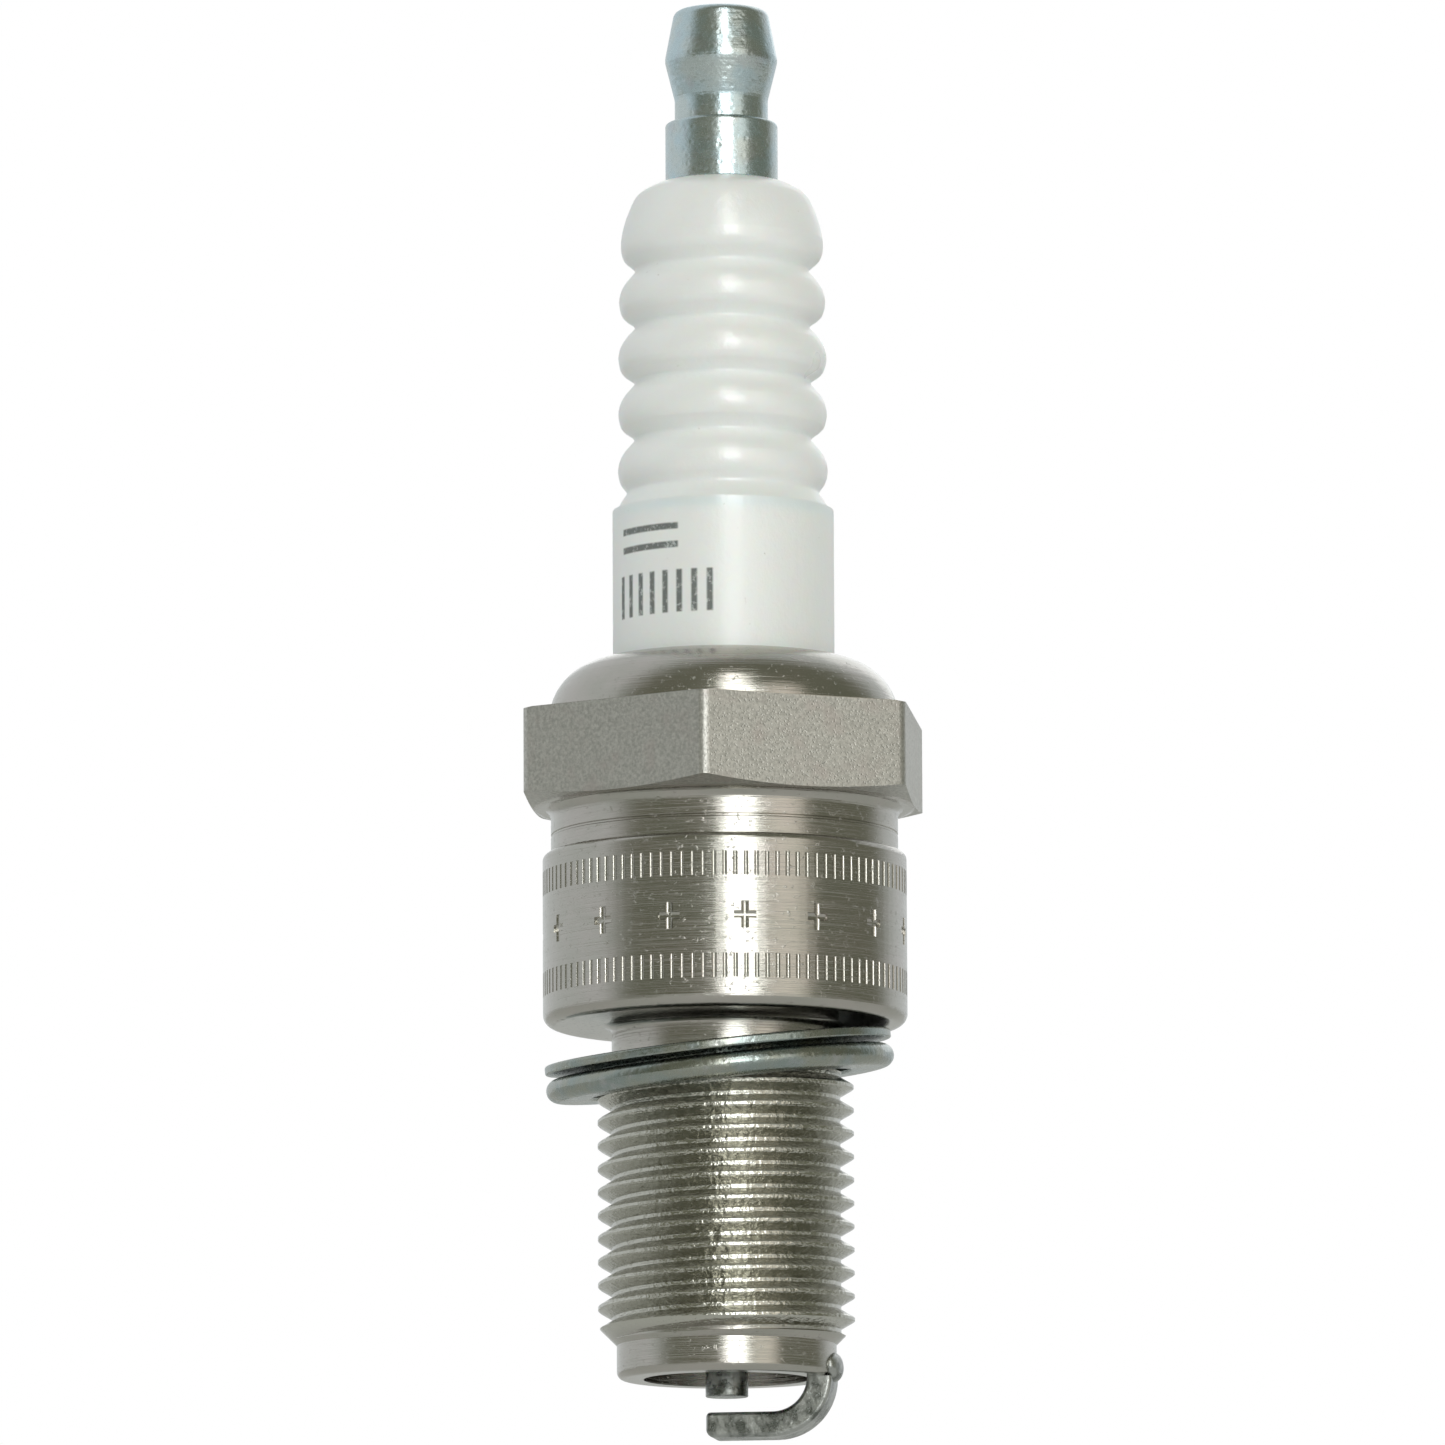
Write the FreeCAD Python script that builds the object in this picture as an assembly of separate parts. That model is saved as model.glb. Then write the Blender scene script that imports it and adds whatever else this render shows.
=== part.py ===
import FreeCAD, Part
import math
import os

os.makedirs("parts", exist_ok=True)

# Spark plug, M14 x 1.25, 19 mm reach. Millimetres, +Z towards the terminal,
# z = 0 on the gasket seat, -Y is the front. Profiles are (radius, height[, corner radius]).

V = FreeCAD.Vector
AXIS_Z = V(0, 0, 1)

# shell
REACH = 19.0
THREAD_PITCH = 1.25
THREAD_R = 6.87
THREAD_ROOT_R = 6.14
RELIEF_R = 6.10
PILOT_R = 5.88
THREAD_PHASE = 0.42
BODY_R = 9.78
NECK_R = 9.33
BODY_TOP = 9.3
HEX_AF = 20.5
HEX_BOTTOM = 11.68
HEX_TOP = 16.65
HEX_FRONT_CORNER_DEG = -95.3
DOME_R = 9.42
DOME_TOP = 19.75
LIP_HOLE_R = 6.03
BORE_END_R = 4.45
LEDGE_R = 4.25
MID_BORE_R = 5.15
TOP_BORE_R = 7.45

# marks rolled into the shell's body
TICK_COUNT = 108
TICK_ROWS = (1.5, 6.95)
TICK_HEIGHT = 1.3
TICK_TOOL_R = 0.15
TICK_DEPTH = 0.07
PUNCH_COUNT = 15
PUNCH_Z = 4.85
PUNCH_TALL = 1.45
PUNCH_WIDE = 1.2
PUNCH_TOOL_R = 0.24
PUNCH_DEPTH = 0.13
PUNCH_FIRST_DEG = -83.7

# insulator
HEAD_TOP = 45.83
BARREL_R = 5.97
FLANGE_R = 7.2
MID_R = 4.95
NOSE_END = -18.2
CORE_HOLE_R = 2.15
NOSE_HOLE_R = 1.28
STUD_SEAT_R = 2.8
STUD_SEAT_Z = 44.95

# packings between insulator and shell
WIRE_R = 0.72
WIRE_RING_R = 6.71
LOWER_WIRE_Z = 14.62
UPPER_WIRE_Z = 17.77

# terminal
M4_PITCH = 0.7
M4_R = 1.96
M4_ROOT_R = 1.55
STUD_TOP = 53.2
NUT_BOTTOM = 45.85
NUT_TOP = 55.41
NUT_HOLE_R = 2.04
COLLAR_R = 3.04

# electrodes
CENTRE_R = 1.14
CENTRE_TIP = -19.95
SPARK_GAP = 0.9
STRAP_THICK = 1.35
STRAP_WIDTH = 2.6
STRAP_OUTER_R = 5.84
STRAP_TIP = -0.95
STRAP_DEG = -9.0

# folded gasket
SHEET = 0.5
FOLD_GAP = 0.26
GASKET_IN_R = 6.75
GASKET_OUT_R = 9.38
GASKET_TILT_DEG = 7.02
GASKET_HIGH_DEG = 28.9
GASKET_CENTRE = V(-0.33, 0, -2.16)


def corner(before, at, after, radius):
    """Tangent points and mid point of the arc that rounds a corner."""
    a = before.sub(at).normalize()
    b = after.sub(at).normalize()
    half = a.getAngle(b) / 2
    reach = radius / math.tan(half)
    bisector = a.add(b).normalize()
    mid = at.add(bisector.multiply(radius / math.sin(half) - radius))
    return at.add(a.multiply(reach)), mid, at.add(b.multiply(reach))


def outline(profile):
    """Closed wire in the XZ plane with its corners rounded."""
    points = [V(p[0], 0, p[1]) for p in profile]
    radii = [p[2] if len(p) > 2 else 0 for p in profile]
    count = len(points)
    starts, ends, edges = [], [], []
    for i, point in enumerate(points):
        if radii[i]:
            first, mid, last = corner(points[i - 1], point, points[(i + 1) % count], radii[i])
            edges.append((i, Part.Arc(first, mid, last).toShape()))
        else:
            first = last = point
        starts.append(first)
        ends.append(last)
    for i in range(count):
        nxt = (i + 1) % count
        if ends[i].distanceToPoint(starts[nxt]) > 1e-6:
            edges.append((i + 0.5, Part.makeLine(ends[i], starts[nxt])))
    ordered = [edge for _, edge in sorted(edges, key=lambda item: item[0])]
    return Part.Wire(ordered)


def turned(profile):
    """Solid of revolution about Z."""
    return Part.Face(outline(profile)).revolve(V(0, 0, 0), AXIS_Z, 360)


def torus(ring_r, wire_r, z):
    return Part.makeTorus(ring_r, wire_r, V(0, 0, z), AXIS_Z)


def cut_thread(body, section, pitch, bottom, turns):
    """Cut a right-handed helical groove, one whole turn at a time from the bottom up."""
    helix = Part.makeHelix(pitch, pitch, section[0][0])
    wire = Part.makePolygon([V(r, 0, z) for r, z in section + section[:1]])
    turn = Part.Wire(helix.Edges).makePipeShell([wire], True, True)
    if turn.Volume < 0:
        turn.reverse()
    for i in range(turns):
        tool = turn.copy()
        tool.translate(V(0, 0, bottom + i * pitch))
        body = body.cut(tool)
    return body


def around(shape, count, first_deg=0.0):
    """Copies of a shape spread evenly about Z."""
    copies = []
    for i in range(count):
        copy = shape.copy()
        copy.rotate(V(0, 0, 0), AXIS_Z, first_deg + i * 360.0 / count)
        copies.append(copy)
    return Part.makeCompound(copies)


def save(name, shape):
    solids = shape.Solids
    solid = solids[0] if len(solids) == 1 else shape
    solid.exportStep("parts/" + name + ".step")


# ---------------------------------------------------------------- shell

def hexagon():
    """Hexagon head: prism with rounded corners, cut by shallow cones above and below."""
    reach = HEX_AF / math.sqrt(3)
    corners = []
    for i in range(7):
        angle = math.radians(HEX_FRONT_CORNER_DEG + 60 * i)
        corners.append(V(reach * math.cos(angle), reach * math.sin(angle), HEX_BOTTOM - 1))
    prism = Part.Face(Part.makePolygon(corners)).extrude(V(0, 0, HEX_TOP - HEX_BOTTOM + 2))
    upright = [e for e in prism.Edges if abs(e.tangentAt(e.FirstParameter).z) > 0.9]
    prism = prism.makeFillet(0.6, upright)
    limits = turned([(0, HEX_BOTTOM), (10.0, HEX_BOTTOM), (12.4, HEX_BOTTOM + 0.62),
                     (12.4, HEX_TOP - 0.2), (11.55, HEX_TOP), (0, HEX_TOP)])
    return prism.common(limits)


def shell_body():
    """Turned outside of the shell, from the pilot to the crimped dome."""
    lower = turned([
        (0, -REACH), (PILOT_R, -REACH, 0.4), (PILOT_R, -17.19), (THREAD_R, -16.2, 0.08),
        (THREAD_R, -3.19, 0.08), (RELIEF_R, -2.45, 0.3), (RELIEF_R, 0, 0.5), (BODY_R, 0, 0.62),
        (BODY_R, BODY_TOP, 0.38), (NECK_R, BODY_TOP),
        (NECK_R, 10.16), (NECK_R - 0.06, 10.21), (NECK_R - 0.06, 10.29), (NECK_R, 10.34),
        (NECK_R, HEX_BOTTOM + 0.1, 0.62), (10.2, HEX_BOTTOM + 0.1), (10.2, 13), (0, 13),
    ])
    thread_start = THREAD_PHASE - 15.5 * THREAD_PITCH
    threaded = cut_thread(lower, groove_section(), THREAD_PITCH, thread_start, 14)
    dome = turned([(0, 15), (DOME_R, 15), (DOME_R, DOME_TOP, 3.22), (LIP_HOLE_R, DOME_TOP),
                   (0, DOME_TOP)])
    return threaded.fuse([hexagon(), dome])


def shell_cavity():
    """Stepped hole through the shell, with the ledge that carries the insulator."""
    roof = UPPER_WIRE_Z + 0.745
    return turned([
        (0, -REACH - 1), (BORE_END_R, -REACH - 1), (BORE_END_R, -9.2), (LEDGE_R, -8.9),
        (LEDGE_R, -6.95), (MID_BORE_R, -6.05), (MID_BORE_R, 2.6), (TOP_BORE_R, 4.9),
        (TOP_BORE_R, roof, 0.745), (LIP_HOLE_R, roof), (LIP_HOLE_R, DOME_TOP - 0.22),
        (LIP_HOLE_R + 0.22, DOME_TOP + 0.02), (LIP_HOLE_R + 0.22, DOME_TOP + 1), (0, DOME_TOP + 1),
    ])


def groove_section():
    """Space between the M14 threads, 60 degrees included with slightly bevelled crests."""
    half_root = 0.1
    shoulder_r = THREAD_R - 0.1
    half_shoulder = half_root + (shoulder_r - THREAD_ROOT_R) * math.tan(math.radians(30))
    half_open = half_shoulder + 0.32
    return [(THREAD_ROOT_R, -half_root), (shoulder_r, -half_shoulder),
            (THREAD_R + 0.3, -half_open), (THREAD_R + 0.3, half_open),
            (shoulder_r, half_shoulder), (THREAD_ROOT_R, half_root)]


def knurl_tools():
    """Two rows of short upright ticks and one row of plain crosses."""
    tool = Part.makeCylinder(TICK_TOOL_R, TICK_HEIGHT,
                             V(BODY_R + TICK_TOOL_R - TICK_DEPTH, 0, 0), AXIS_Z)
    rows = []
    for z in TICK_ROWS:
        row = around(tool, TICK_COUNT)
        row.translate(V(0, 0, z))
        rows.append(row)
    start = BODY_R + PUNCH_TOOL_R - PUNCH_DEPTH
    cross = Part.makeCylinder(PUNCH_TOOL_R, PUNCH_TALL, V(start, 0, PUNCH_Z - PUNCH_TALL / 2), AXIS_Z)
    arm = Part.makeCylinder(PUNCH_TOOL_R, PUNCH_WIDE, V(start, -PUNCH_WIDE / 2, PUNCH_Z), V(0, 1, 0))
    cross = cross.fuse(arm)
    return Part.makeCompound(rows + [around(cross, PUNCH_COUNT, PUNCH_FIRST_DEG)])


def make_shell():
    return shell_body().cut(shell_cavity()).cut(knurl_tools())


# ------------------------------------------------------------ insulator

def ribbed_side():
    """Points of the glazed head and its ribs, from the top edge down to the barrel."""
    head = [(3.75, 45.70), (4.30, 45.40), (4.66, 45.08), (4.95, 44.52), (5.17, 43.98),
            (5.35, 43.36), (5.46, 42.7), (5.455, 42.2), (5.32, 41.75), (4.98, 41.42)]
    grooves = [(4.70, 41.09), (4.72, 38.01), (4.75, 34.95), (4.78, 31.85), (5.19, 28.92)]
    crowns = [5.57, 5.62, 5.63, 5.66]
    rib = [(0.12, 0.26), (0.28, 0.71), (0.42, 0.93), (0.56, 1.0), (0.69, 0.94), (0.80, 0.79),
           (0.88, 0.46), (0.95, 0.12)]
    points = list(head)
    for (r0, z0), (r1, z1), crown in zip(grooves, grooves[1:], crowns):
        points.append((r0, z0))
        pitch = 3.07
        for along, high in rib:
            z = z0 - along * pitch
            base = r0 + (min(r1, 4.78) - r0) * along
            r = base + (crown - base) * high
            if z > z1 + 0.15 and (z > z1 + 0.4 or r > r1 + 0.05):
                points.append((r, z))
    shoulder = [(5.19, 28.92), (5.40, 28.56), (5.62, 28.2), (5.80, 27.86), (5.92, 27.5)]
    return points + shoulder


def make_insulator():
    side = [V(3.3, 0, HEAD_TOP)] + [V(r, 0, z) for r, z in ribbed_side()] + [V(BARREL_R, 0, 27.1)]
    curve = Part.BSplineCurve()
    curve.interpolate(side, InitialTangent=V(1, 0, -0.02), FinalTangent=V(0, 0, -1))
    below = outline([
        (BARREL_R, 27.1), (BARREL_R, DOME_TOP + 0.3), (BARREL_R - 0.04, 14.3),
        (FLANGE_R, 13.2, 0.3), (FLANGE_R, 5.05, 0.3),
        (MID_R, 2.80), (MID_R, -5.80), (4.05, -6.70), (3.85, -7.3), (2.35, NOSE_END, 0.25),
        (NOSE_HOLE_R, NOSE_END), (NOSE_HOLE_R, -4.07), (CORE_HOLE_R, -3.2),
        (CORE_HOLE_R, STUD_SEAT_Z), (STUD_SEAT_R, STUD_SEAT_Z), (STUD_SEAT_R, HEAD_TOP),
        (3.3, HEAD_TOP),
    ]).Edges
    closing = [e for e in below if not spans(e, side[0], side[-1])]
    cuts = [curve.FirstParameter] + [curve.parameter(p) for p in side[1:-1:3]] + [curve.LastParameter]
    ribs = [curve.toShape(first, last) for first, last in zip(cuts, cuts[1:])]
    wire = Part.Wire(Part.__sortEdges__(ribs + closing))
    return Part.Face(wire).revolve(V(0, 0, 0), AXIS_Z, 360)


def spans(edge, a, b):
    """True for the straight edge that joins two given points."""
    ends = [v.Point for v in edge.Vertexes]
    return all(min(p.distanceToPoint(q) for q in ends) < 1e-6 for p in (a, b))


# ----------------------------------------------- core of the insulator

def make_stud():
    """Terminal stud: grooved foot, shank, flange and M4 thread."""
    foot = [(0, 10.9), (1.55, 10.9, 0.15)]
    for i in range(4):
        z = 11.2 + 0.8 * i
        foot += [(1.75, z), (1.75, z + 0.45), (1.5, z + 0.6)]
    body = turned(foot + [
        (1.75, 14.45), (1.98, 14.7), (1.98, STUD_SEAT_Z + 0.01), (2.75, STUD_SEAT_Z + 0.01),
        (2.75, HEAD_TOP - 0.02), (1.45, HEAD_TOP - 0.02), (1.45, 46.25), (M4_R, 46.75),
        (M4_R, STUD_TOP - 0.45), (1.5, STUD_TOP), (0, STUD_TOP),
    ])
    section = [(M4_ROOT_R, -0.04), (M4_R + 0.2, -0.39), (M4_R + 0.2, 0.39), (M4_ROOT_R, 0.04)]
    return cut_thread(body, section, M4_PITCH, 46.0, 11)


def make_nut():
    """Snap terminal: waisted bulb over a plain collar, blind threaded hole from below."""
    body = turned([
        (0, NUT_TOP), (2.52, NUT_TOP, 0.5), (3.06, 52.62, 0.9), (2.52, 50.45, 0.8),
        (2.52, 49.25, 0.06), (2.62, 49.2), (COLLAR_R, 49.15, 0.2), (COLLAR_R, NUT_BOTTOM, 0.1),
        (2.4, NUT_BOTTOM), (NUT_HOLE_R, 46.22), (NUT_HOLE_R, 53.7), (0, 54.6),
    ])
    section = [(NUT_HOLE_R - 0.08, -0.27), (NUT_HOLE_R + 0.15, -0.06),
               (NUT_HOLE_R + 0.15, 0.06), (NUT_HOLE_R - 0.08, 0.27)]
    return cut_thread(body, section, M4_PITCH, 46.0, 10)


def make_centre_electrode():
    return turned([
        (0, CENTRE_TIP), (CENTRE_R, CENTRE_TIP, 0.06), (CENTRE_R, -4.11), (1.95, -3.38),
        (1.95, -2.5), (1.1, -2.5), (1.1, -1.2), (0.62, -1.2), (0.62, -16.5), (0, -16.5),
    ])


# ------------------------------------------------------ ground electrode

def make_ground_electrode():
    """Rolled strip bent under the tip, with the upset bead of its weld."""
    top = CENTRE_TIP - SPARK_GAP
    bottom = top - STRAP_THICK
    side = Part.Face(outline([
        (STRAP_OUTER_R, -REACH), (STRAP_OUTER_R, bottom, 3.2), (STRAP_TIP, bottom, 0.45),
        (STRAP_TIP, top, 0.25), (STRAP_OUTER_R - STRAP_THICK, top, 3.2 - STRAP_THICK),
        (STRAP_OUTER_R - STRAP_THICK, -REACH),
    ]))
    side.translate(V(0, -STRAP_WIDTH / 2, 0))
    strip = side.extrude(V(0, STRAP_WIDTH, 0))
    inside = STRAP_WIDTH / 2 - 0.01
    long_edges = [e for e in strip.Edges if abs(e.CenterOfMass.y) > inside]
    long_edges = [e for e in long_edges if e.CenterOfMass.z < -REACH - 0.01]
    strip = strip.makeFillet(0.22, long_edges)
    scale = FreeCAD.Matrix()
    scale.scale(V(0.52, 1.45, 0.8))
    bead = Part.makeSphere(1.0).transformGeometry(scale)
    bead.translate(V(5.76, 0, -18.45))
    pilot = turned([(0, -REACH), (PILOT_R, -REACH, 0.4), (PILOT_R, -17), (0, -17)])
    shape = strip.fuse(bead.cut(pilot))
    shape.rotate(V(0, 0, 0), AXIS_Z, STRAP_DEG)
    return shape


# --------------------------------------------------------------- gasket

def make_gasket():
    """One sheet ring folded twice, hanging tilted on the relief under the seat."""
    bend = SHEET + FOLD_GAP / 2
    small = FOLD_GAP / 2
    level = [-1.5 * SHEET - FOLD_GAP, -0.5 * SHEET - FOLD_GAP, -0.5 * SHEET,
             0.5 * SHEET, 0.5 * SHEET + FOLD_GAP, 1.5 * SHEET + FOLD_GAP]
    ring = turned([
        (GASKET_OUT_R - 0.05, level[5], 0.16), (GASKET_IN_R, level[5], bend - 0.001),
        (GASKET_IN_R, level[2], bend - 0.001), (GASKET_OUT_R - SHEET, level[2], small - 0.001),
        (GASKET_OUT_R - SHEET, level[1], small - 0.001), (GASKET_IN_R + 0.25, level[1], 0.1),
        (GASKET_IN_R + 0.25, level[0], 0.16), (GASKET_OUT_R, level[0], bend - 0.001),
        (GASKET_OUT_R, level[3], bend - 0.001), (GASKET_IN_R + SHEET, level[3], small - 0.001),
        (GASKET_IN_R + SHEET, level[4], small - 0.001), (GASKET_OUT_R - 0.05, level[4], 0.1),
    ])
    high = math.radians(GASKET_HIGH_DEG)
    ring.rotate(V(0, 0, 0), V(math.sin(high), -math.cos(high), 0), GASKET_TILT_DEG)
    ring.translate(GASKET_CENTRE)
    return ring


PIECES = {
    "shell": make_shell(),
    "insulator": make_insulator(),
    "terminal_stud": make_stud(),
    "terminal_nut": make_nut(),
    "centre_electrode": make_centre_electrode(),
    "copper_core": turned([(0, -16.48), (0.61, -16.48), (0.61, -1.2), (0, -1.2)]),
    "ground_electrode": make_ground_electrode(),
    "gasket": make_gasket(),
    "upper_glass_seal": turned([(0, 9.62), (2.13, 9.62), (2.13, 13.9), (1.78, 13.9),
                                (1.78, 10.88), (0, 10.88)]),
    "resistor": turned([(0, 2.6), (2.12, 2.6, 0.2), (2.12, 9.6, 0.2), (0, 9.6)]),
    "lower_glass_seal": turned([(1.12, -2.48), (2.13, -2.48), (2.13, 2.58), (0, 2.58),
                                (0, -1.18), (1.12, -1.18)]),
    "upper_packing_ring": torus(WIRE_RING_R, WIRE_R, UPPER_WIRE_Z),
    "lower_packing_ring": torus(WIRE_RING_R, WIRE_R, LOWER_WIRE_Z),
    "talc_fill": turned([(5.99, 15.35), (7.43, 15.35), (7.43, 17.04), (5.99, 17.04)]),
    "seat_packing": turned([(4.40, -6.79), (5.08, -6.11), (4.87, -5.89), (4.19, -6.57)]),
}

for piece_name, piece in PIECES.items():
    save(piece_name, piece)
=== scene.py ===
import math

import bpy
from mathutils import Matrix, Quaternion, Vector


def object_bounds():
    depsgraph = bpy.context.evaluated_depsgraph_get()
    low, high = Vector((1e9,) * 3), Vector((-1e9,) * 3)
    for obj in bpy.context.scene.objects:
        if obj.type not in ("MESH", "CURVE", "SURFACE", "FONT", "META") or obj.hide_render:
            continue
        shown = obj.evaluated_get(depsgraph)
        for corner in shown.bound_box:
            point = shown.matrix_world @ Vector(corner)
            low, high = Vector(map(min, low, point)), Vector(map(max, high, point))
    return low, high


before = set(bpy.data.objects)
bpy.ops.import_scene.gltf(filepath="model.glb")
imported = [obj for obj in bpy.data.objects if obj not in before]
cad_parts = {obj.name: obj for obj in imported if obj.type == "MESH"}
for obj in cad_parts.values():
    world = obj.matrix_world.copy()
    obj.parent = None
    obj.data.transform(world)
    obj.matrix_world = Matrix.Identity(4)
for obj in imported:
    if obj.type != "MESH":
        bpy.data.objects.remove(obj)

cad_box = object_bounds()
middle = (Vector(cad_box[0]) + Vector(cad_box[1])) / 2
MM = 0.001

# Heights along the plug, in millimetres.
HEXAGON = (11.75, 16.62)
THREAD = (-16.6, -2.6)
SCUFFED = (20.3, 26.5)
BARREL_TOP = (27.0, 27.8)
SHORT_BARS = (21.7, 24.0)
LONG_BARS = ((25.2, 25.55), (26.2, 26.55))

# Sockets of the Mix node when it mixes colours.
MIX_FACTOR, MIX_FIRST, MIX_SECOND, MIX_RESULT = 0, 6, 7, 2


# ------------------------------------------------------------ materials

class Look:
    """One procedural material, worked out in millimetres of the frame."""

    def __init__(self, name):
        self.material = bpy.data.materials.new(name)
        self.material.use_nodes = True
        self.tree = self.material.node_tree
        self.shader = self.tree.nodes["Principled BSDF"]
        coords = self.node("ShaderNodeTexCoord")
        self.place = self.vector("MULTIPLY", coords.outputs["Object"], (1 / MM,) * 3)
        split = self.node("ShaderNodeSeparateXYZ")
        self.join(self.place, split.inputs[0])
        self.x, self.y, self.z = split.outputs
        self.bumps = None

    def node(self, kind, **settings):
        made = self.tree.nodes.new(kind)
        for key, value in settings.items():
            setattr(made, key, value)
        return made

    def join(self, source, socket):
        if isinstance(source, bpy.types.NodeSocket):
            self.tree.links.new(source, socket)
        else:
            socket.default_value = source

    def math(self, operation, *values):
        made = self.node("ShaderNodeMath", operation=operation)
        for value, socket in zip(values, made.inputs):
            self.join(value, socket)
        return made.outputs[0]

    def vector(self, operation, *values):
        made = self.node("ShaderNodeVectorMath", operation=operation)
        for value, socket in zip(values, made.inputs):
            self.join(value, socket)
        return made.outputs["Vector"]

    def linear(self, value, slope, start=0.0):
        return self.math("MULTIPLY_ADD", value, slope, start)

    def radius(self):
        """Distance from the plug's axis."""
        flat = self.math("MULTIPLY_ADD", self.x, self.x, self.math("MULTIPLY", self.y, self.y))
        return self.math("SQRT", flat)

    def noise(self, stretch, detail, rough, offset=(0, 0, 0)):
        """Noise from 0 to 1; stretch is its cells per millimetre along X, Y and Z."""
        place = self.vector("ADD", self.vector("MULTIPLY", self.place, stretch), offset)
        made = self.node("ShaderNodeTexNoise")
        made.inputs["Scale"].default_value = 1.0
        made.inputs["Detail"].default_value = detail
        made.inputs["Roughness"].default_value = rough
        self.join(place, made.inputs["Vector"])
        return made.outputs["Fac"]

    def cells(self, per_mm):
        """Distance to the nearest of many scattered points, so many to a millimetre."""
        made = self.node("ShaderNodeTexVoronoi")
        made.inputs["Scale"].default_value = 1.0
        self.join(self.vector("MULTIPLY", self.place, (per_mm,) * 3), made.inputs["Vector"])
        return made.outputs["Distance"]

    def ramp(self, value, low, high, first=0.0, last=1.0):
        """A smooth step from first at the low value to last at the high one."""
        made = self.node("ShaderNodeMapRange", interpolation_type="SMOOTHSTEP", clamp=True)
        for socket, number in zip(made.inputs, (value, low, high, first, last)):
            self.join(number, socket)
        return made.outputs["Result"]

    def band(self, value, low, high, soft):
        """1 between two limits, falling to 0 over a soft edge."""
        rise = self.ramp(value, low - soft, low + soft)
        fall = self.ramp(value, high - soft, high + soft, 1.0, 0.0)
        return self.math("MULTIPLY", rise, fall)

    def blend(self, factor, first, second):
        made = self.node("ShaderNodeMix", data_type="RGBA")
        self.join(factor, made.inputs[MIX_FACTOR])
        self.join(rgba(first), made.inputs[MIX_FIRST])
        self.join(rgba(second), made.inputs[MIX_SECOND])
        return made.outputs[MIX_RESULT]

    def bump(self, height, depth_mm):
        """One more layer of relief, on top of the layers so far."""
        made = self.node("ShaderNodeBump")
        made.inputs["Distance"].default_value = depth_mm * MM
        self.join(height, made.inputs["Height"])
        if self.bumps is not None:
            self.join(self.bumps, made.inputs["Normal"])
        self.bumps = made.outputs["Normal"]

    def finish(self, colour, rough, **constants):
        """Wire up the shader; constants go straight to its own sockets."""
        self.join(rgba(colour), self.shader.inputs["Base Color"])
        self.join(rough, self.shader.inputs["Roughness"])
        if self.bumps is not None:
            self.join(self.bumps, self.shader.inputs["Normal"])
        for name, value in constants.items():
            self.shader.inputs[name.replace("_", " ")].default_value = value
        return self.material


def rgba(colour):
    return colour + (1.0,) if isinstance(colour, tuple) else colour


def turned_nickel():
    """Satin nickel plate: lathe rings on the body, sand grain on the hexagon, streaks and stains."""
    look = Look("turned_nickel")
    head = look.math("MULTIPLY", look.band(look.z, *HEXAGON, 0.03),
                     look.ramp(look.radius(), 9.6, 9.9))
    body = look.math("SUBTRACT", 1.0, head)
    thread = look.band(look.z, *THREAD, 0.25)
    rings = look.noise((0.05, 0.05, 7.0), 4.0, 0.65)
    fine_rings = look.noise((0.15, 0.15, 22.0), 2.0, 0.6, (5, 0, 0))
    grain = look.noise((5.5, 5.5, 5.5), 4.0, 0.7)
    pits = look.ramp(look.cells(6.0), 0.05, 0.45)
    stain = look.noise((0.35, 0.35, 0.5), 3.0, 0.6, (3, 1, 7))
    specks = look.ramp(look.noise((3.0, 3.0, 3.0), 3.0, 0.7, (9, 4, 2)), 0.60, 0.72)
    plain = look.blend(look.ramp(stain, 0.35, 0.7), (0.44, 0.43, 0.39), (0.485, 0.455, 0.425))
    beads = look.noise((3.0, 3.0, 3.0), 2.0, 0.6, (4, 8, 1))
    warmth = look.noise((0.6, 0.6, 0.6), 2.0, 0.5, (2, 2, 8))
    plain = look.blend(look.linear(rings, 0.35), plain, (0.36, 0.355, 0.31))
    sand = look.blend(look.ramp(grain, 0.3, 0.7), (0.40, 0.395, 0.365), (0.60, 0.59, 0.55))
    sand = look.blend(look.ramp(warmth, 0.5, 0.75, 0.0, 0.5), sand, (0.50, 0.45, 0.425))
    colour = look.blend(head, plain, sand)
    # painted light: the thread band gets a lighter tone to make up for the light lost between the
    # thread flanks
    colour = look.blend(look.linear(thread, 0.85), colour, (0.52, 0.515, 0.46))
    look.bump(look.math("MULTIPLY", rings, body), 0.020)
    look.bump(look.math("MULTIPLY", fine_rings, body), 0.006)
    look.bump(look.math("MULTIPLY", look.math("ADD", grain, pits), head), 0.010)
    look.bump(look.math("MULTIPLY", specks, body), 0.012)
    look.bump(look.math("MULTIPLY", beads, thread), 0.08)
    rough = look.linear(rings, 0.12, 0.12)
    rough = look.linear(thread, -0.05, rough)
    rough = look.linear(head, 0.28, rough)
    return look.finish(colour, rough, Metallic=1.0)


def zinc(name, first, second, ringed):
    """Bright zinc plate with faint iridescence and a speckled, slightly pitted skin."""
    look = Look(name)
    hue = look.noise((0.5, 0.5, 0.7), 2.0, 0.5, (1, 6, 3))
    patch = look.noise((1.1, 1.1, 1.1), 3.0, 0.6, (8, 2, 5))
    grain = look.noise((4.0, 4.0, 4.0), 3.0, 0.65)
    dents = look.ramp(look.cells(2.6), 0.02, 0.5)
    colour = look.blend(look.ramp(hue, 0.38, 0.62), first, second)
    colour = look.blend(look.ramp(patch, 0.5, 0.75, 0.0, 0.35), colour, (0.50, 0.49, 0.53))
    colour = look.blend(look.ramp(grain, 0.55, 0.8, 0.0, 0.4), colour, (0.30, 0.35, 0.35))
    if ringed:
        look.bump(look.noise((0.08, 0.08, 9.0), 3.0, 0.6), 0.010)
    look.bump(grain, 0.013)
    look.bump(dents, 0.009)
    return look.finish(colour, look.linear(grain, 0.24, 0.15), Metallic=1.0)


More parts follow.
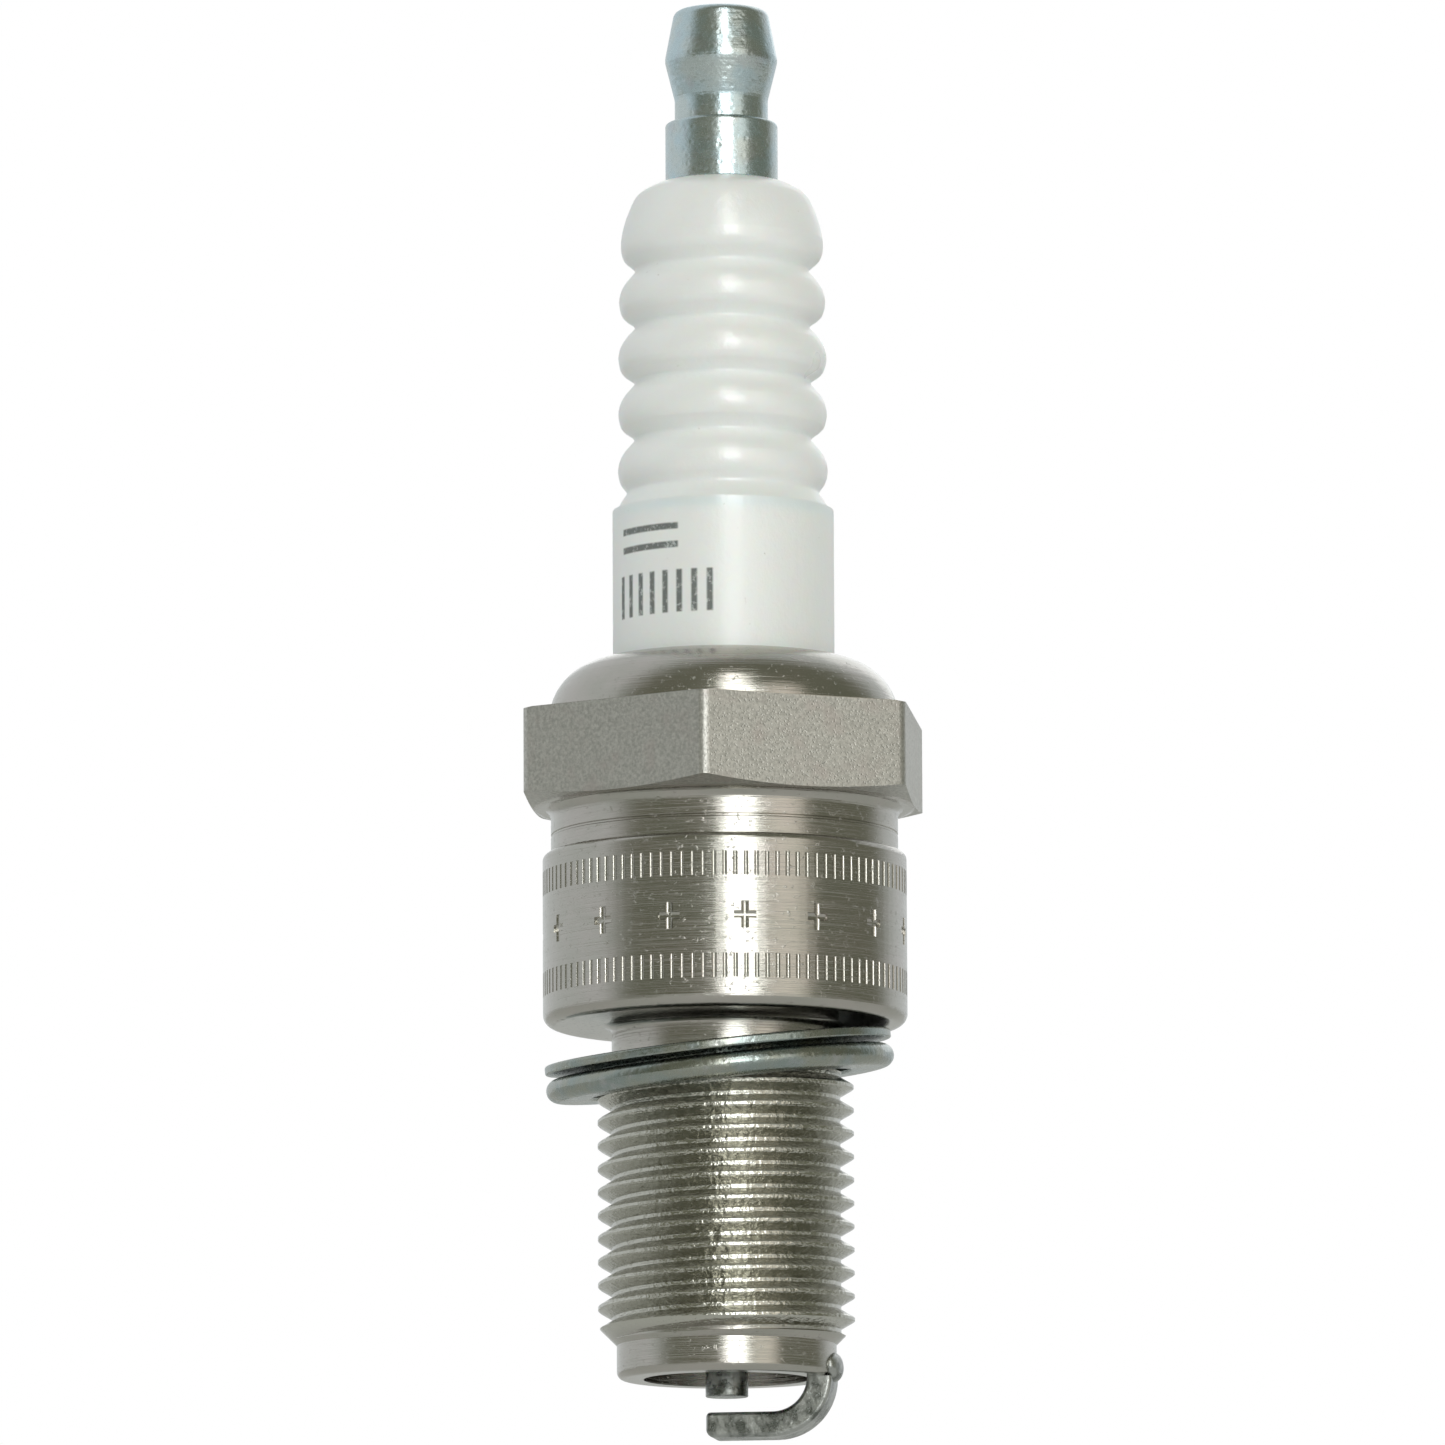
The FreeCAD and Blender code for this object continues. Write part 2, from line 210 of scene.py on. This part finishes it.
def glazed_ceramic():
    """White glaze with a slight orange peel, kiln specks, scuffs and a plain printed index mark."""
    look = Look("glazed_ceramic")
    cloud = look.noise((0.25, 0.25, 0.2), 2.0, 0.5)
    peel = look.noise((1.6, 1.6, 1.3), 3.0, 0.6, (4, 4, 4))
    barrel = look.ramp(look.z, *BARREL_TOP, 1.0, 0.0)
    specks = look.ramp(look.noise((2.6, 2.6, 2.6), 2.0, 0.5, (7, 1, 3)), 0.76, 0.80)
    scuffs = look.ramp(look.noise((2.0, 2.0, 0.9), 4.0, 0.7, (2, 9, 6)), 0.68, 0.76)
    scuffs = look.math("MULTIPLY", scuffs, look.band(look.z, *SCUFFED, 0.6))
    colour = look.blend(cloud, (0.90, 0.935, 0.925), (0.94, 0.955, 0.935))
    colour = look.blend(look.linear(specks, 0.35), colour, (0.40, 0.38, 0.34))
    colour = look.blend(look.linear(scuffs, 0.30), colour, (0.45, 0.45, 0.43))
    worn = look.ramp(look.noise((3.5, 3.5, 3.5), 4.0, 0.7, (6, 6, 1)), 0.32, 0.5)
    ink = look.math("MULTIPLY", index_mark(look), look.linear(worn, 0.45, 0.5))
    colour = look.blend(ink, colour, (0.115, 0.13, 0.125))
    look.bump(peel, 0.035)
    look.bump(scuffs, -0.006)
    rough = look.linear(cloud, 0.08, 0.25)
    rough = look.linear(barrel, 0.12, rough)
    rough = look.linear(ink, 0.25, rough)
    return look.finish(colour, rough, Coat_Weight=0.1, Coat_Roughness=0.2, IOR=1.7,
                       Specular_IOR_Level=0.65, Subsurface_Weight=0.25, Subsurface_Scale=0.001)


def index_mark(look):
    """Plain bars printed round the front left of the barrel; angles run right from the front."""
    angle = look.math("ARCTAN2", look.x, look.math("MULTIPLY", look.y, -1.0))
    bars = [(-64, -24, low, high) for low, high in LONG_BARS]
    for i in range(8):
        start = -66 + 8.2 * i
        bars.append((start, start + 3.2, *SHORT_BARS))
    mark = 0.0
    for left, right, low, high in bars:
        across = look.band(angle, math.radians(left), math.radians(right), 0.012)
        bar = look.math("MULTIPLY", across, look.band(look.z, low, high, 0.06))
        mark = look.math("MAXIMUM", mark, bar)
    return mark


def drawn_nickel():
    """Matt nickel alloy of the electrodes: draw lines, coined speckle and heat-darkened patches."""
    look = Look("drawn_nickel")
    speckle = look.noise((1.7, 1.7, 1.7), 5.0, 0.72)
    dark = look.noise((0.8, 0.8, 0.8), 3.0, 0.6, (5, 5, 5))
    draw = look.noise((2.0, 14.0, 14.0), 3.0, 0.6)
    colour = look.blend(look.ramp(dark, 0.4, 0.6), (0.15, 0.16, 0.145), (0.42, 0.43, 0.41))
    colour = look.blend(look.ramp(speckle, 0.58, 0.75, 0.0, 0.8), colour, (0.75, 0.77, 0.76))
    look.bump(speckle, 0.045)
    look.bump(draw, 0.010)
    return look.finish(colour, look.linear(dark, 0.25, 0.16), Metallic=1.0)


def steel_wire():
    """Plain drawn steel of the hidden stud and rings."""
    look = Look("steel_wire")
    draw = look.noise((0.3, 0.3, 8.0), 3.0, 0.6)
    spots = look.noise((2.0, 2.0, 2.0), 3.0, 0.6, (3, 3, 3))
    colour = look.blend(spots, (0.42, 0.42, 0.43), (0.56, 0.56, 0.57))
    look.bump(draw, 0.010)
    return look.finish(colour, look.linear(draw, 0.2, 0.25), Metallic=1.0)


def copper():
    """Bare copper with dull spots."""
    look = Look("copper")
    spots = look.noise((1.6, 1.6, 1.6), 4.0, 0.6)
    colour = look.blend(look.ramp(spots, 0.35, 0.7), (0.78, 0.40, 0.25), (0.55, 0.27, 0.17))
    look.bump(spots, 0.010)
    return look.finish(colour, look.linear(spots, 0.3, 0.2), Metallic=1.0)


def fused(name, ground, grains, share, metal):
    """Fused or pressed powder: a ground colour with grains of another."""
    look = Look(name)
    coarse = look.cells(4.0)
    fine = look.noise((6.0, 6.0, 6.0), 4.0, 0.7)
    colour = look.blend(look.ramp(coarse, share, share + 0.2, 1.0, 0.0), ground, grains)
    colour = look.blend(look.linear(fine, 0.4), colour, ground)
    look.bump(fine, 0.030)
    return look.finish(colour, look.linear(fine, 0.3, 0.45), Metallic=metal)


finishes = {
    "shell": turned_nickel(),
    "gasket": zinc("zinc_gasket", (0.29, 0.335, 0.32), (0.33, 0.345, 0.30), False),
    "terminal_nut": zinc("zinc_nut", (0.50, 0.61, 0.645), (0.54, 0.605, 0.60), True),
    "insulator": glazed_ceramic(),
    "centre_electrode": drawn_nickel(),
    "terminal_stud": steel_wire(),
    "copper_core": copper(),
    "upper_glass_seal": fused("copper_glass", (0.16, 0.09, 0.06), (0.60, 0.30, 0.18), 0.25, 0.3),
    "resistor": fused("carbon_glass", (0.03, 0.03, 0.035), (0.20, 0.20, 0.21), 0.2, 0.0),
    "talc_fill": fused("pressed_talc", (0.74, 0.74, 0.69), (0.86, 0.86, 0.83), 0.3, 0.0),
}
finishes["ground_electrode"] = finishes["centre_electrode"]
finishes["lower_glass_seal"] = finishes["upper_glass_seal"]
for hidden in ("upper_packing_ring", "lower_packing_ring", "seat_packing"):
    finishes[hidden] = finishes["terminal_stud"]

for node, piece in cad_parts.items():
    for holder in piece.material_slots:
        holder.material = finishes[node]


# ------------------------------------------------------ floor and light

def floor(height, half):
    """Square matt floor, its half width and height in metres."""
    mesh = bpy.data.meshes.new("floor")
    corners = [(-half, -half, height), (half, -half, height), (half, half, height),
               (-half, half, height)]
    mesh.from_pydata(corners, [], [(0, 1, 2, 3)])
    plane = bpy.data.objects.new("floor", mesh)
    bpy.context.scene.collection.objects.link(plane)
    look = Look("pale_floor")
    cloud = look.noise((0.004, 0.004, 0.004), 2.0, 0.5)
    mesh.materials.append(look.finish(
        look.blend(cloud, (0.80, 0.80, 0.79), (0.84, 0.84, 0.83)), 0.9))


def softbox(name, azimuth, elevation, distance, width, height, power, tint):
    """Rectangular light that faces the object; azimuth runs to the right of the front."""
    data = bpy.data.lights.new(name, "AREA")
    data.shape = "RECTANGLE"
    data.size = width
    data.size_y = height
    data.energy = power
    data.color = tint
    lamp = bpy.data.objects.new(name, data)
    bpy.context.scene.collection.objects.link(lamp)
    a, e = math.radians(azimuth), math.radians(elevation)
    way = Vector((math.sin(a) * math.cos(e), -math.cos(a) * math.cos(e), math.sin(e)))
    lamp.location = middle + way * distance
    lamp.rotation_euler = way.to_track_quat("Z", "Y").to_euler()


def surroundings():
    """Dim room in front, pale cloth behind and to the left; the camera itself sees white."""
    world = bpy.data.worlds.new("studio")
    bpy.context.scene.world = world
    world.use_nodes = True
    tree = world.node_tree
    tree.nodes.clear()

    def node(kind, **settings):
        made = tree.nodes.new(kind)
        for key, value in settings.items():
            setattr(made, key, value)
        return made

    coords = node("ShaderNodeTexCoord")
    turn = node("ShaderNodeVectorMath", operation="DOT_PRODUCT")
    turn.inputs[1].default_value = (-0.46, 1.0, 0.12)
    ramp = node("ShaderNodeMapRange", interpolation_type="SMOOTHSTEP")
    ramp.inputs["From Min"].default_value = -0.12
    ramp.inputs["From Max"].default_value = 0.42
    shade = node("ShaderNodeMix", data_type="RGBA")
    shade.inputs[MIX_FIRST].default_value = (0.215, 0.22, 0.17, 1.0)
    shade.inputs[MIX_SECOND].default_value = (0.74, 0.77, 0.78, 1.0)
    seen = node("ShaderNodeLightPath")
    lit = node("ShaderNodeBackground")
    white = node("ShaderNodeBackground")
    white.inputs["Color"].default_value = (1.0, 1.0, 1.0, 1.0)
    pick = node("ShaderNodeMixShader")
    out = node("ShaderNodeOutputWorld")
    link = tree.links.new
    link(coords.outputs["Generated"], turn.inputs[0])
    link(turn.outputs["Value"], ramp.inputs["Value"])
    link(ramp.outputs["Result"], shade.inputs[MIX_FACTOR])
    link(shade.outputs[MIX_RESULT], lit.inputs["Color"])
    link(seen.outputs["Is Camera Ray"], pick.inputs[0])
    link(lit.outputs[0], pick.inputs[1])
    link(white.outputs[0], pick.inputs[2])
    link(pick.outputs[0], out.inputs[0])


def camera():
    """Long lens a little below the middle of the plug, looking up at it, with a slight roll."""
    distance = 0.72
    tilt = math.radians(-8.0)
    roll = Quaternion((0, 0, 1), math.radians(-0.25))
    target = Vector((-0.00008, 0.0, 0.01646))
    data = bpy.data.cameras.new("camera")
    data.lens = 333.3
    data.clip_start = 0.05
    data.clip_end = 30
    eye = bpy.data.objects.new("camera", data)
    bpy.context.scene.collection.objects.link(eye)
    way = Vector((0, -math.cos(tilt), math.sin(tilt)))
    eye.location = target + way * distance
    eye.rotation_euler = (way.to_track_quat("Z", "Y") @ roll).to_euler()
    bpy.context.scene.camera = eye


floor(-0.17, 4.0)
softbox("key", 10, 6, 4.16, 1.352, 2.99, 74.36, (0.97, 0.99, 1.0))
softbox("side", 40, 8, 4.68, 2.21, 3.9, 26.364, (1.0, 0.94, 0.88))
softbox("overhead", 8, 40, 4.42, 0.884, 1.95, 22.984, (1.0, 1.0, 0.99))
softbox("rear", 170, 30, 4.68, 3.12, 3.12, 16.9, (1.0, 1.0, 1.0))
surroundings()
camera()
bpy.context.scene.view_settings.view_transform = "Standard"
